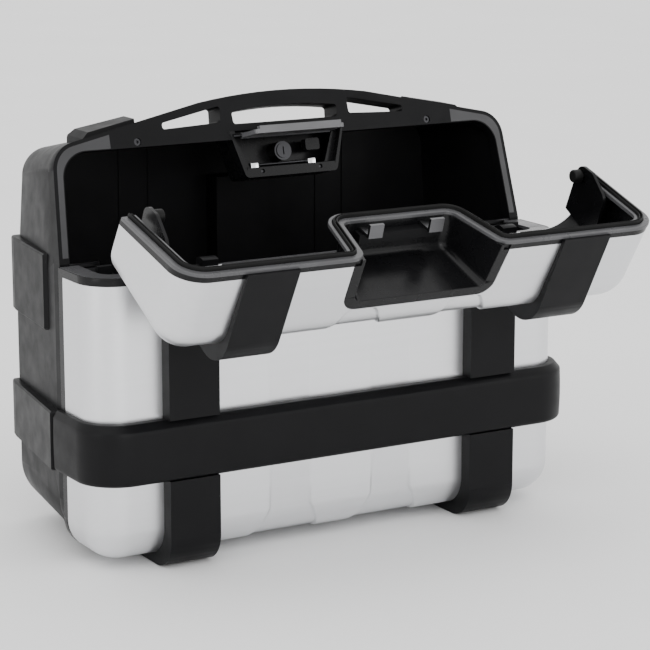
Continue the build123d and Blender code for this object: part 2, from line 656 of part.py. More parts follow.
def make_release_button():
    outline = Pos(BUTTON_X, BUTTON_V) * Rectangle(15, 11)
    cap = lean_prism(round_at(outline, 2.0, lambda x, v: True), -20.0, -12.0)
    cap = cap - lock_rod(BUTTON_X, BUTTON_V, -21.0, -15.0, 4.8)
    return cap + lock_rod(BUTTON_X, BUTTON_V, -40.0, -14.5, 2.5)


def make_button_spring():
    turns = 4
    coil = Helix(pitch=8.2 / turns, height=8.2, radius=3.7)
    wire = sweep(Plane(origin=coil @ 0, z_dir=coil % 0) * Circle(0.35), path=coil)
    place = Plane(origin=(BUTTON_X, lean_y(BUTTON_V, -28.3), lean_z(BUTTON_V, -28.3)),
                  z_dir=(0, -LEAN_COS, LEAN_SIN))
    return place * wire


# ---------------------------------------------------------------- carrier fittings, in the shell

def make_mount_rail(side):
    """Moulded rail on the back that rests on the carrier plate."""
    rail = box_between((RAIL_X - 14, SHELL_BACK, 52), (RAIL_X + 14, SHELL_BACK + RAIL_DEPTH, 330))
    uprights = rail.edges().filter_by(Axis.Y)
    rail = fillet(uprights, 6.0)
    hook_slot = box_between((RAIL_X - 8, SHELL_BACK + 1.5, 74), (RAIL_X + 8, SHELL_BACK + RAIL_DEPTH + 1, 86))
    return mirrored(rail - hook_slot, side)


def make_hook_plate(side):
    """Steel plate at the bottom of a rail's slot, which the carrier's hook bears on."""
    plate = box_between((RAIL_X - 7.8, SHELL_BACK + 1.6, 74.2), (RAIL_X + 7.8, SHELL_BACK + 2.8, 85.8))
    return mirrored(plate, side)


def make_carrier_catch():
    """Sliding catch in the well; its nose holds the carrier's tongue."""
    body = box_between((-18, WELL_FRONT + 4, 262), (18, SHELL_BACK - 2, 290))
    mouth = box_between((-19, WELL_FRONT + 12, 261), (19, SHELL_BACK + 1, 268))
    return body - mouth


def make_catch_guide():
    """Two side rails that hold the catch in the well."""
    rails = []
    for side in SIDES.values():
        rail = box_between((18.5, WELL_FRONT, 240), (WELL_HALF, SHELL_BACK - 3, 310))
        rails.append(mirrored(rail, side))
    return Compound(rails)


def make_hinge_base(side):
    """Lug of the lower hinge on its plate, screwed under the shell."""
    middle = (LUG_IN + LUG_OUT) / 2
    width = LUG_OUT - LUG_IN
    lug = rod(middle, COVER_AXIS_Y, COVER_AXIS_Z, width, LOW_KNUCKLE_R - 0.2)
    arm = box_between((LUG_IN, COVER_AXIS_Y, 1.0), (LUG_OUT, 14, 8.0))
    plate = box_between((STRAP_IN, 8, 3.5), (STRAP_OUT, 46, CASE_BASE))
    plate = fillet(plate.edges().filter_by(Axis.Z), 4.0)
    base = lug + arm + plate
    base = base - rod(middle, COVER_AXIS_Y, COVER_AXIS_Z, 60, LOW_PIN_R + PIN_PLAY)
    return mirrored(base, side)


def make_rods(y, z, radius, length):
    """One hinge pin on each side."""
    middle = (STRAP_IN + STRAP_OUT) / 2
    return Compound([rod(side * middle, y, z, length, radius) for side in SIDES.values()])


def make_feet():
    """Rubber feet under the rear edge of the shell."""
    feet = []
    for side in SIDES.values():
        foot = box_between((140, 100, 0), (190, 118, 20))
        foot = fillet(foot.edges().filter_by(Axis.Z), 5.0)
        feet.append(mirrored(foot, side))
    return Compound(feet)


# ---------------------------------------------------------------- fittings of the lower cover

def make_cover_pieces():
    body = recessed_cover(0.0)
    inner = recessed_cover(SKIN)
    liner_out = recessed_cover(SKIN + 0.1)
    liner_in = recessed_cover(SKIN + 3.1)
    upper = box_between((-FAR, -FAR, SKIN_TOP + 0.1), (FAR, FAR, COVER_TOP))
    seam = box_between((-FAR, -SEAM_STRIP, -FAR), (FAR, -1.0, FAR))
    below = box_between((-FAR, -FAR, -FAR), (FAR, -SEAM_STRIP - 0.1, SKIN_TOP))
    skin = (body - inner) & below
    edge_zone = (upper & box_between((-FAR, -FAR, 0), (FAR, -1.0, 400))) + seam
    edge_trim = (body - liner_out) & edge_zone
    liner = (liner_out - liner_in) & box_between((-FAR, -FAR, -FAR), (FAR, -1.0, COVER_TOP - 3.6))
    ledge = (liner_out - cover_block(20.0, COVER_TOP + 1)) & box_between((-FAR, -FAR, COVER_TOP - 3.5), (FAR, -1.0, COVER_TOP))
    return {"cover_skin": skin, "cover_edge_trim": edge_trim, "cover_liner": liner, "cover_top_ledge": ledge}


def make_latch_base(side):
    base = box_between((LATCH_X - 9, -38, 254), (244, -8, 261.5))
    rail = box_between((LATCH_X + 7.5, -36, 261.5), (LATCH_X + 9.5, -10, 266.0))
    return mirrored(base + rail + box_between((LATCH_X - 9, -36, 261.5), (LATCH_X - 7.5, -10, 266.0)), side)


def make_latch_bolt(side):
    """Hand bolt, drawn back, that locks the lower cover to the frame."""
    bolt = box_between((LATCH_X - 7, -32, 261.9), (LATCH_X + 7, -2.5, 267.0))
    tab = box_between((LATCH_X - 7, -32, 266.0), (LATCH_X + 7, -28, 274.0))
    bolt = chamfer((bolt + tab).edges().filter_by(Axis.X), 0.8)
    return mirrored(bolt, side)


def make_latch_keeper(side):
    plate = box_between((LATCH_X - 11, 1.5, 257), (OPENING_HALF, 5.0, 271))
    slot = box_between((LATCH_X - 7.6, 0, 261.3), (LATCH_X + 7.6, 8, 267.6))
    return mirrored(plate - slot, side)


# ---------------------------------------------------------------- rest position

def open_flap(solid):
    """The rest position has the flap hinged forward, hanging open."""
    return solid.rotate(Axis((0, FLAP_AXIS_Y, FLAP_AXIS_Z), (1, 0, 0)), FLAP_OPEN_DEG)


def lift_lever(solid):
    return solid.rotate(Axis((0, lean_y(LEVER_V, LEVER_N), lean_z(LEVER_V, LEVER_N)), (1, 0, 0)), -LEVER_OPEN_DEG)


def build():
    shell, shell_outer = make_shell()
    body = cover_block(0.0, COVER_TOP)
    flap_outer = flap_block(0.0)
    frame = make_frame(shell_outer)
    low_pins = make_rods(COVER_AXIS_Y, COVER_AXIS_Z, LOW_PIN_R, STRAP_OUT - STRAP_IN - 1)
    parts.update({"back_shell": shell, "front_frame": frame, "frame_screws": make_frame_screws(),
                  "frame_gasket": make_gasket(), "lock_housing": make_lock_housing(),
                  "key_sleeve": make_key_sleeve(), "button_spring": make_button_spring(),
                  "lower_hinge_pins": low_pins, "rear_feet": make_feet() - shell_outer,
                  "catch_guide": make_catch_guide()})
    lever_pin_place = (lean_y(LEVER_V, LEVER_N), lean_z(LEVER_V, LEVER_N))
    parts["lever_pin"] = rod(0, *lever_pin_place, 2 * LOCK_LOW_HALF + 14, 1.6)
    parts.update(make_cover_pieces())
    parts["bumper_band"] = make_band(body)
    parts["upper_hinge_pins"] = make_rods(FLAP_AXIS_Y, FLAP_AXIS_Z, PIN_R, 48.0)
    flap = make_flap_pieces()
    flap["flap_strike_seat"] = make_strike_seat()
    for name, side in SIDES.items():
        trim = lean_prism(corner_trim_outline(side), -1.9, 0)
        parts["corner_trim_" + name] = trim
        parts["side_bumper_" + name] = make_side_bumper(side, 83.0, 138.0, 0.5, 9.5, 8.0) - shell_outer - frame
        pad = make_side_bumper(side, 206.0, 276.0, 32.0, 3.0, 5.5)
        parts["upper_pad_" + name] = pad - shell_outer
        parts["mount_rail_" + name] = make_mount_rail(side)
        parts["hook_plate_" + name] = make_hook_plate(side)
        parts["hinge_base_" + name] = make_hinge_base(side)
        parts["latch_keeper_" + name] = make_latch_keeper(side)
        parts["cover_strap_" + name] = make_cover_strap(side, body)
        parts["latch_base_" + name] = make_latch_base(side)
        parts["latch_bolt_" + name] = make_latch_bolt(side)
        flap["flap_strap_" + name] = make_flap_strap(side, flap_outer)
        flap["flap_strike_" + name] = make_strike(side)
        flap["flap_stop_" + name] = make_flap_bumper(side)
        flap["flap_cheek_" + name] = make_flap_cheek(side)
    for name, solid in flap.items():
        parts[name] = open_flap(solid)
    parts["lock_lever"] = lift_lever(make_lever())
    parts["lock_bolts"] = make_bolts()
    parts["key_cylinder"] = make_key_cylinder()
    parts["release_button"] = make_release_button()
    parts["carrier_catch"] = make_carrier_catch()


def centre_depth():
    """Middle of the whole case along Y, which the origin sits on."""
    boxes = [solid.bounding_box() for solid in parts.values()]
    return (min(box.min.Y for box in boxes) + max(box.max.Y for box in boxes)) / 2


def export():
    os.makedirs("parts", exist_ok=True)
    for name in os.listdir("parts"):
        os.remove(os.path.join("parts", name))
    for name, solid in parts.items():
        export_step(Pos(0, -CENTRE_Y, 0) * solid, os.path.join("parts", name + ".step"))


build()
CENTRE_Y = centre_depth()
print("centre depth", CENTRE_Y)
export()
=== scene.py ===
import bpy
import bmesh
import json
import math
from mathutils import Matrix, Vector


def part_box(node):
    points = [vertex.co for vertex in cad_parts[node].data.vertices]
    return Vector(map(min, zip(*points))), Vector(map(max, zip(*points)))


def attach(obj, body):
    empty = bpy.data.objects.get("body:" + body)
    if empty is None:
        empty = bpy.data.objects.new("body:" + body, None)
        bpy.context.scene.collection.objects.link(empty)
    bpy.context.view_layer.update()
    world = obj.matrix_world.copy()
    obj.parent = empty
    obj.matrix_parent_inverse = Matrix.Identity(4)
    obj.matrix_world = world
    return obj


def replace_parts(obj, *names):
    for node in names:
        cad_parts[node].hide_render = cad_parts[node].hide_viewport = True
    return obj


# Looks of the hard motorcycle case, in metres. X runs across, the case opens towards -Y and +Z is up.
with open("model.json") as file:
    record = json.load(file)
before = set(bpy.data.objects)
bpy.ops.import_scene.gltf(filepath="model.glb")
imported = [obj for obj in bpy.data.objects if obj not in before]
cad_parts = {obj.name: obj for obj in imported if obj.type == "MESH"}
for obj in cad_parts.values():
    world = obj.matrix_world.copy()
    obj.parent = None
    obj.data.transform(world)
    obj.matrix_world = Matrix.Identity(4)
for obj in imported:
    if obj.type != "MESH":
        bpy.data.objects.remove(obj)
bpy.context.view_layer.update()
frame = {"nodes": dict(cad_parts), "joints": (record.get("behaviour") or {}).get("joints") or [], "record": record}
nodes = frame["nodes"]

# ---------------------------------------------------------------- places taken from the frame

MM = 0.001
SKIN_LOW, SKIN_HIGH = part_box("cover_skin")
BAND_LOW, BAND_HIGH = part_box("bumper_band")
SKIN_FRONT_MM = 74.0
DEPTH_SHIFT = SKIN_LOW.y / MM + SKIN_FRONT_MM      # the frame's Y of the case's own plane y = 0, in mm
FLAP_JOINT = next(joint for joint in frame["joints"] if joint["name"] == "flap_hinge")
FLAP_AXIS = Vector(FLAP_JOINT["pos_m"])
FLAP_OPEN = -math.radians(FLAP_JOINT["range_deg"][0])
SPLIT_Z = 272.0
LEAN = math.radians(14.5)
SIN, COS = math.sin(LEAN), math.cos(LEAN)


def place(x, y, z):
    """A point given in millimetres from the case's front plane."""
    return Vector((x * MM, (y + DEPTH_SHIFT) * MM, z * MM))


def lean_place(x, v, n):
    """A point of the leaning half: v runs up the lean and n points to the front."""
    return place(x, v * SIN - n * COS, SPLIT_Z + v * COS + n * SIN)


def opened(point):
    """A point of the closed flap, turned to where the flap hangs at rest."""
    return Matrix.Rotation(FLAP_OPEN, 3, "X") @ (point - FLAP_AXIS) + FLAP_AXIS


# ---------------------------------------------------------------- materials

def start_material(name, color, roughness, metallic=0.0):
    material = bpy.data.materials.new(name)
    material.use_nodes = True
    shader = material.node_tree.nodes["Principled BSDF"]
    shader.inputs["Base Color"].default_value = (*color, 1)
    shader.inputs["Roughness"].default_value = roughness
    shader.inputs["Metallic"].default_value = metallic
    return material, shader


def object_noise(material, scale, detail=3.0, stretch=(1, 1, 1)):
    """Noise fixed to the object, with features 1/scale metres across."""
    tree = material.node_tree
    coordinates = tree.nodes.new("ShaderNodeTexCoord")
    mapping = tree.nodes.new("ShaderNodeMapping")
    mapping.inputs["Scale"].default_value = stretch
    noise = tree.nodes.new("ShaderNodeTexNoise")
    noise.inputs["Scale"].default_value = scale
    noise.inputs["Detail"].default_value = detail
    tree.links.new(coordinates.outputs["Object"], mapping.inputs["Vector"])
    tree.links.new(mapping.outputs["Vector"], noise.inputs["Vector"])
    return noise.outputs["Fac"]


def spread(material, source, low, high):
    """Map a 0 to 1 value to the range low to high."""
    node = material.node_tree.nodes.new("ShaderNodeMapRange")
    node.inputs["From Min"].default_value = 0.3
    node.inputs["From Max"].default_value = 0.7
    node.inputs["To Min"].default_value = low
    node.inputs["To Max"].default_value = high
    material.node_tree.links.new(source, node.inputs["Value"])
    return node.outputs["Result"]


def vary_color(material, shader, source, dark, light):
    ramp = material.node_tree.nodes.new("ShaderNodeValToRGB")
    ramp.color_ramp.elements[0].position = 0.3
    ramp.color_ramp.elements[0].color = (*dark, 1)
    ramp.color_ramp.elements[1].position = 0.7
    ramp.color_ramp.elements[1].color = (*light, 1)
    material.node_tree.links.new(source, ramp.inputs["Fac"])
    material.node_tree.links.new(ramp.outputs["Color"], shader.inputs["Base Color"])


def add_bump(material, shader, source, depth):
    bump = material.node_tree.nodes.new("ShaderNodeBump")
    bump.inputs["Distance"].default_value = depth
    bump.inputs["Strength"].default_value = 1.0
    material.node_tree.links.new(source, bump.inputs["Height"])
    material.node_tree.links.new(bump.outputs["Normal"], shader.inputs["Normal"])


PATCH_SCALE, WEAR_SCALE = 22.0, 60.0
BRUSH_LINES = (26, 2600, 2600)       # noise stretched along X into fine lines
BRUSH_PATCHES = (5, 210, 210)


def moulded_plastic(name, color, roughness, grain=0.00003, scale=1500.0, gloss=0.5):
    """Moulded plastic with fine grain, slight patches of colour and of gloss."""
    material, shader = start_material(name, color, roughness)
    shader.inputs["Specular IOR Level"].default_value = gloss
    patches = object_noise(material, PATCH_SCALE)
    vary_color(material, shader, patches, [c * 0.86 for c in color], [c * 1.14 for c in color])
    wear = spread(material, object_noise(material, WEAR_SCALE, 5.0), roughness - 0.05, roughness + 0.06)
    material.node_tree.links.new(wear, shader.inputs["Roughness"])
    add_bump(material, shader, object_noise(material, scale, 2.0), grain)
    return material


def brushed_metal(name, color, roughness, depth=0.000004):
    """Metal with fine brush lines across the case."""
    material, shader = start_material(name, color, roughness, 1.0)
    lines = object_noise(material, 1.0, 4.0, BRUSH_LINES)
    broad = object_noise(material, 1.0, 3.0, BRUSH_PATCHES)
    vary_color(material, shader, broad, [c * 0.988 for c in color], [min(1.0, c * 1.012) for c in color])
    gloss = spread(material, lines, roughness - 0.025, roughness + 0.025)
    material.node_tree.links.new(gloss, shader.inputs["Roughness"])
    add_bump(material, shader, lines, depth)
    shader.inputs["Anisotropic"].default_value = 0.45
    tangent = material.node_tree.nodes.new("ShaderNodeTangent")
    tangent.direction_type = "RADIAL"
    tangent.axis = "Z"
    material.node_tree.links.new(tangent.outputs["Tangent"], shader.inputs["Tangent"])
    return material


MATERIALS = {
    "shell_plastic": moulded_plastic("shell_plastic", (0.005, 0.005, 0.0055), 0.42, gloss=0.10),
    "grey_land": moulded_plastic("grey_land", (0.035, 0.035, 0.037), 0.34, 0.00001, gloss=0.3),
    "rubber": moulded_plastic("rubber", (0.006, 0.006, 0.006), 0.50, 0.00001, gloss=0.15),
    "aluminium_skin": brushed_metal("aluminium_skin", (0.74, 0.745, 0.76), 0.33, 0.0000012),
    "strap_plastic": moulded_plastic("strap_plastic", (0.004, 0.004, 0.0045), 0.42, 0.00004, gloss=0.12),
    "rim_plastic": moulded_plastic("rim_plastic", (0.06, 0.06, 0.063), 0.30, 0.00001, gloss=0.4),
    "liner_plastic": moulded_plastic("liner_plastic", (0.004, 0.004, 0.0045), 0.26, 0.00001, 700.0,
                                     gloss=0.2),
    "steel": brushed_metal("steel", (0.12, 0.12, 0.125), 0.30),
    "dark_metal": brushed_metal("dark_metal", (0.045, 0.045, 0.048), 0.34),
    "chrome": brushed_metal("chrome", (0.88, 0.88, 0.89), 0.10, 0.000001),
    "lever_grey": moulded_plastic("lever_grey", (0.10, 0.10, 0.105), 0.33, 0.00001),
}
SLOT_OF = {part["node"]: part["material_slot"] for part in frame["record"]["subparts"]}


def finish_piece(piece, body, slot, smooth_deg=35.0):
    piece.data.materials.clear()
    piece.data.materials.append(MATERIALS[slot])
    piece.data.shade_smooth()
    piece.data.set_sharp_from_angle(angle=math.radians(smooth_deg))
    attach(piece, body)
    return piece


# ---------------------------------------------------------------- CAD nodes that keep their shape

EDGE_ROUNDING = {"back_shell": 0.8, "front_frame": 0.8, "cover_strap_left": 1.2, "cover_strap_right": 1.2,
                 "flap_strap_left": 1.2, "flap_strap_right": 1.2, "lock_housing": 0.5, "lock_lever": 0.7,
                 "side_bumper_left": 0.8, "side_bumper_right": 0.8,
                 "upper_pad_left": 1.2, "upper_pad_right": 1.2,
                 "flap_lock_pocket": 0.6, "cover_edge_trim": 0.5, "cover_top_ledge": 0.6, "flap_liner": 0.5}


def dress_cad_nodes():
    for name, node in nodes.items():
        material = MATERIALS[SLOT_OF[name]]
        for slot in node.material_slots:
            slot.material = material
        if name in EDGE_ROUNDING:
            weld = node.modifiers.new("weld", "WELD")
            weld.merge_threshold = 0.00001
            bevel = node.modifiers.new("soft_edges", "BEVEL")
            bevel.width = EDGE_ROUNDING[name] * MM
            bevel.segments = 3
            bevel.limit_method = "ANGLE"
            bevel.angle_limit = math.radians(32)
            bevel.harden_normals = True


# ---------------------------------------------------------------- mesh helpers

MERGE_DISTANCE = 0.000004
CORNER_STEPS = 12      # faces round each corner of a plan outline
ARC_STEPS = 8          # faces round each corner of an outline on the lean


def new_piece(name, points, faces):
    mesh = bpy.data.meshes.new(name)
    mesh.from_pydata(points, [], faces)
    mesh.validate()
    piece = bpy.data.objects.new(name, mesh)
    bpy.context.scene.collection.objects.link(piece)
    return piece


def tidy_mesh(piece):
    work = bmesh.new()
    work.from_mesh(piece.data)
    bmesh.ops.remove_doubles(work, verts=work.verts, dist=MERGE_DISTANCE)
    bmesh.ops.recalc_face_normals(work, faces=work.faces)
    work.to_mesh(piece.data)
    work.free()


def apply_modifiers(piece):
    depsgraph = bpy.context.evaluated_depsgraph_get()
    mesh = bpy.data.meshes.new_from_object(piece.evaluated_get(depsgraph))
    piece.modifiers.clear()
    piece.data = mesh


def cut_away(piece, tool):
    """Take the tool's solid away from the piece."""
    cut = piece.modifiers.new("cut", "BOOLEAN")
    cut.operation = "DIFFERENCE"
    cut.solver = "EXACT"
    cut.object = tool
    apply_modifiers(piece)
    bpy.data.objects.remove(tool)


def thicken(piece, thickness_mm):
    solid = piece.modifiers.new("thickness", "SOLIDIFY")
    solid.thickness = thickness_mm * MM
    solid.offset = -1
    apply_modifiers(piece)


def stations(low, high, step):
    count = max(1, round((high - low) / step))
    return [low + (high - low) * i / count for i in range(count + 1)]


def plan_line(half, front, radius, back, inset, columns):
    """Points of a U-shaped plan outline, moved in by inset; each corner is an arc that shrinks with it.
    columns are the places across the flat of the front where the line has a point."""
    corner = max(radius - inset, 0.0)
    side = half - inset
    face = -(front - inset)
    line = []
    rear = [(-side, y) for y in stations(back, -(front - radius), 9.0)]
    rear = [(x, min(back, max(y, face + corner))) for x, y in rear]
    line += rear[:-1]
    for i in range(CORNER_STEPS + 1):
        turn = math.radians(90) * i / CORNER_STEPS
        line.append((-side + corner - corner * math.cos(turn), face + corner - corner * math.sin(turn)))
    flat = half - radius
    line += [(x * (side - corner) / flat, face) for x in columns[1:-1]]
    line += [(-x, y) for x, y in reversed(line[:len(rear) + CORNER_STEPS])]
    return line


RECESS_CENTRE = 54.0        # from the middle of the case, in mm like all of these
RECESS_DEPTH = 2.4
RECESS_CORNER = 4.0
RECESS_WALL = 1.8           # width of the sloped wall
RECESS_NARROW = 14.0        # half width at the start
RECESS_SLOPE = 0.5          # growth of the half width per mm
RECESS_REACH = 46.0         # the finely divided part of the front, past the centre
RECESS_TOP = 54.0
FLAP_RECESS_START = -37.0
FLAP_RECESS_LOW = 347.0
SKIN_THICKNESS = 1.4
SKIN_CORNER = 33.0          # corner radius in plan


def recess_share(x, half, from_start, from_end):
    """1 inside a recess of that half width, 0 outside, with soft walls; all in millimetres."""
    across = half - abs(abs(x) - RECESS_CENTRE)
    inside = min(across, from_start, from_end)
    if across < RECESS_CORNER and from_start < RECESS_CORNER:
        inside = RECESS_CORNER - math.hypot(RECESS_CORNER - across, RECESS_CORNER - from_start)
    share = min(1.0, max(0.0, inside / RECESS_WALL + 0.5))
    return share * share * (3 - 2 * share)


def grid_faces(rows, columns):
    faces = []
    for i in range(rows - 1):
        for j in range(columns - 1):
            a = i * columns + j
            faces.append((a, a + 1, a + columns + 1, a + columns))
    return faces


def fine_front(flat):
    """Places across the front, close together where the recesses are."""
    outer = RECESS_CENTRE + RECESS_REACH
    right = stations(0, 6, 3.0)[:-1] + stations(6, outer, 1.0)[:-1] + stations(outer, flat, 6.0)
    return [-x for x in reversed(right[1:])] + right


# ---------------------------------------------------------------- aluminium skins

def make_cover_skin():
    half, front, radius, base, top, seam = 249.0, SKIN_FRONT_MM, SKIN_CORNER, 9.0, SKIN_HIGH.z / MM, -10.2
    round_r, fine_below, arc_steps = 31.0, 62.0, 40
    heights = stations(top, fine_below, 13.0)[:-1] + stations(fine_below, base + round_r, 1.0)[:-1]
    profile = [(z, 0.0, 0.0) for z in heights]
    for i in range(arc_steps + 1):
        turn = math.radians(90) * i / arc_steps
        profile.append((base + round_r * (1 - math.sin(turn)), round_r * (1 - math.cos(turn)), turn))
    columns = fine_front(half - radius)
    points = []
    for z, inset, turn in profile:
        recess_half = RECESS_NARROW + (RECESS_TOP - z) * RECESS_SLOPE
        for x, y in plan_line(half, front, radius, seam, inset, columns):
            push = 0.0
            if y < inset - front + 0.01:
                push = RECESS_DEPTH * recess_share(x, recess_half, RECESS_TOP - z, round_r - inset)
            points.append(place(x, y + push * math.cos(turn), z + push * math.sin(turn)))
    width = len(points) // len(profile)
    faces = grid_faces(len(profile), width)
    last = (len(profile) - 1) * width
    faces.append(tuple(range(last, last + width)))
    skin = new_piece("cover_skin_sheet", points, faces)
    tidy_mesh(skin)
    thicken(skin, SKIN_THICKNESS)
    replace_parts(finish_piece(skin, "cover", "aluminium_skin"), "cover_skin")


def pocket_cutter(outline, front_y, rounding):
    """The pocket's space in the closed flap, from behind the rim to a front plane with rounded edges."""
    count = len(outline)
    points = [lean_place(x, v, -20.0) for x, v in outline]
    points += [lean_place(x, v, (v * SIN - front_y) / COS) for x, v in outline]
    faces = [tuple(reversed(range(count))), tuple(range(count, 2 * count))]
    faces += [(i, (i + 1) % count, count + (i + 1) % count, count + i) for i in range(count)]
    tool = new_piece("cutter", points, faces)
    tidy_mesh(tool)
    work = bmesh.new()
    work.from_mesh(tool.data)
    limit = place(0, front_y + 0.5, 0).y
    rims = [edge for edge in work.edges if all(vertex.co.y < limit for vertex in edge.verts)]
    bmesh.ops.bevel(work, geom=rims, offset=rounding * MM, segments=6, profile=0.5, affect="EDGES")
    work.to_mesh(tool.data)
    work.free()
    return tool


def rounded_corner(before, corner, after, radius):
    """Points of the arc that rounds one corner of an outline."""
    a = (Vector(before) - Vector(corner)).normalized()
    b = (Vector(after) - Vector(corner)).normalized()
    half_angle = a.angle(b) / 2
    reach = radius / math.tan(half_angle)
    centre = Vector(corner) + (a + b).normalized() * (radius / math.sin(half_angle))
    start = Vector(corner) + a * reach - centre
    end = Vector(corner) + b * reach - centre
    sweep = start.angle_signed(end)
    points = []
    for i in range(ARC_STEPS + 1):
        turn = sweep * i / ARC_STEPS
        c, s = math.cos(-turn), math.sin(-turn)
        points.append(tuple(centre + Vector((start.x * c - start.y * s, start.x * s + start.y * c))))
    return points


def rounded_line(corners, closed=False):
    """An outline of (x, y, radius) corners with each corner rounded."""
    line = []
    count = len(corners)
    for i, (x, y, radius) in enumerate(corners):
        if radius == 0 or (not closed and i in (0, count - 1)):
            line.append((x, y))
        else:
            line += rounded_corner(corners[i - 1][:2], (x, y), corners[(i + 1) % count][:2], radius)
    return line


POCKET_HALF = 55.0              # the lock pocket's half width at its foot, in mm
POCKET_FOOT_V = 47.0
POCKET_CORNER = 9.0
POCKET_SLOPE = 14.0 / 65.0      # it widens upwards
FLAP_SKIN_N = 12.6              # the skin ends here, in front of the rim


def pocket_outline(grow):
    """Outline of the lock pocket on the lean, open upwards."""
    low_v, high_v, low_half, radius = POCKET_FOOT_V - grow, 170.0, POCKET_HALF + grow, POCKET_CORNER + grow
    high_half = POCKET_HALF + (high_v - POCKET_FOOT_V) * POCKET_SLOPE + grow
    return rounded_line([(-low_half, low_v, radius), (low_half, low_v, radius),
                         (high_half, high_v, 0), (-high_half, high_v, 0)], closed=True)


def keep_flap_side(piece, n):
    """Cut a piece of the closed flap off behind the plane at n and below the split, and close the cuts."""
    work = bmesh.new()
    work.from_mesh(piece.data)
    normal = (lean_place(0, 0, 1) - lean_place(0, 0, 0)).normalized()
    planes = [(lean_place(0, 0, n), normal), (place(0, 0, SPLIT_Z + 0.6), Vector((0, 0, 1)))]
    for point, direction in planes:
        everything = work.verts[:] + work.edges[:] + work.faces[:]
        cut = bmesh.ops.bisect_plane(work, geom=everything, plane_co=point, plane_no=direction,
                                     clear_inner=True)
        edges = [item for item in cut["geom_cut"] if isinstance(item, bmesh.types.BMEdge)]
        bmesh.ops.holes_fill(work, edges=edges)
    bmesh.ops.recalc_face_normals(work, faces=work.faces)
    work.to_mesh(piece.data)
    work.free()


def make_flap_skin():
    half, front, radius, top, round_r = 244.5, SKIN_FRONT_MM, SKIN_CORNER, 383.0, 27.0
    foot, fine_above, seam, arc_steps = SPLIT_Z + 0.5, 330, 60.0, 36
    taper = math.tan(math.radians(2.0))
    shoulder = top - round_r
    reach = (shoulder - foot) * taper
    heights = stations(foot, fine_above, 14.0)[:-1] + stations(fine_above, shoulder, 1.5)[:-1]
    profile = [(z, (z - foot) * taper, 0.0) for z in heights]
    for i in range(arc_steps + 1):
        turn = math.radians(90) * i / arc_steps
        profile.append((shoulder + round_r * math.sin(turn), reach + round_r * (1 - math.cos(turn)), turn))
    profile += [(top, reach + round_r + extra, math.radians(90)) for extra in (1, 2, 3, 4, 5, 6, 8)]
    columns = fine_front(half - radius)
    points = []
    for z, inset, turn in profile:
        from_start = FLAP_RECESS_START - (inset - front)
        recess_half = RECESS_NARROW + from_start * RECESS_SLOPE
        for x, y in plan_line(half, front, radius, seam, inset, columns):
            push = 0.0
            if y < inset - front + 0.01:
                push = RECESS_DEPTH * recess_share(x, recess_half, from_start, z - FLAP_RECESS_LOW)
            points.append(place(x, y + push * math.cos(turn), z - push * math.sin(turn)))
    width = len(points) // len(profile)
    faces = grid_faces(len(profile), width)
    last = (len(profile) - 1) * width
    faces.append(tuple(range(last, last + width)))
    skin = new_piece("flap_skin_sheet", points, faces)
    tidy_mesh(skin)
    thicken(skin, SKIN_THICKNESS)
    keep_flap_side(skin, FLAP_SKIN_N)
    cut_away(skin, pocket_cutter(pocket_outline(9.3), -35.3, 14.0))
    turn_open = Matrix.Rotation(FLAP_OPEN, 4, "X")
    skin.data.transform(Matrix.Translation(FLAP_AXIS) @ turn_open @ Matrix.Translation(-FLAP_AXIS))
    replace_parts(finish_piece(skin, "flap", "aluminium_skin"), "flap_skin")


# ---------------------------------------------------------------- bumper band

def make_band():
    low, high = BAND_LOW.z / MM, BAND_HIGH.z / MM
    back, step, edge, crown = -1.0, 8.0, 4.5, 0.05
    inner, outer = [plan_line(half, front, radius, back, 0.0, stations(radius - half, half - radius, step))
                    for half, front, radius in ((249.2, 74.2, 33.0), (257.5, 89.5, 41.0))]
    # the profile: the share of the way from the inner to the outer line, and the height
    profile = [(0.0, low), (0.62, low)]
    for turn in (math.radians(degrees) for degrees in range(15, 91, 15)):
        profile.append((0.62 + 0.33 * math.sin(turn), low + edge * (1 - math.cos(turn))))
    for share in (i / 12 for i in range(1, 12)):
        height = low + edge + (high - low - edge - 6.5) * share
        profile.append((0.95 + crown * math.sin(math.pi * share), height))
    profile += [(0.95, high - 6.5), (0.92, high - 5.6), (0.56, high - 0.9), (0.50, high - 0.2), (0.45, high),
                (0.0, high)]
    points = []
    for (ix, iy), (ox, oy) in zip(inner, outer):
        for share, z in profile:
            points.append(place(ix + (ox - ix) * share, iy + (oy - iy) * share, z))
    faces = grid_faces(len(inner), len(profile))
    count = len(profile)
    faces += [(i * count + count - 1, i * count, i * count + count, i * count + 2 * count - 1)
              for i in range(len(inner) - 1)]
    faces += [tuple(range(count)), tuple(reversed(range((len(inner) - 1) * count, len(inner) * count)))]
    band = new_piece("bumper_band_moulding", points, faces)
    tidy_mesh(band)
    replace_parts(finish_piece(band, "cover", "strap_plastic", 30.0), "bumper_band")


# ---------------------------------------------------------------- flap rim and its seal

def rim_path(grow):
    """Middle line of the flap's rim on the lean, from one arm's end round the pocket to the other's."""
    arm, top_half, top_v = 245.2 + grow, 240.6 + grow, 113.5 + grow
    mouth_half = POCKET_HALF + (top_v - POCKET_FOOT_V) * POCKET_SLOPE - grow
    right = [(POCKET_HALF - grow, POCKET_FOOT_V + grow, POCKET_CORNER - grow),
             (mouth_half, top_v, POCKET_CORNER), (top_half, top_v, 27.0 + grow), (arm, 0.5, 0)]
    left = [(-x, v, radius) for x, v, radius in reversed(right)]
    return rounded_line(left + right)


def path_normals(path):
    normals = []
    for i in range(len(path)):
        before, after = Vector(path[max(i - 1, 0)]), Vector(path[min(i + 1, len(path) - 1)])
        along = (after - before).normalized()
        normals.append(Vector((-along.y, along.x)))
    return normals


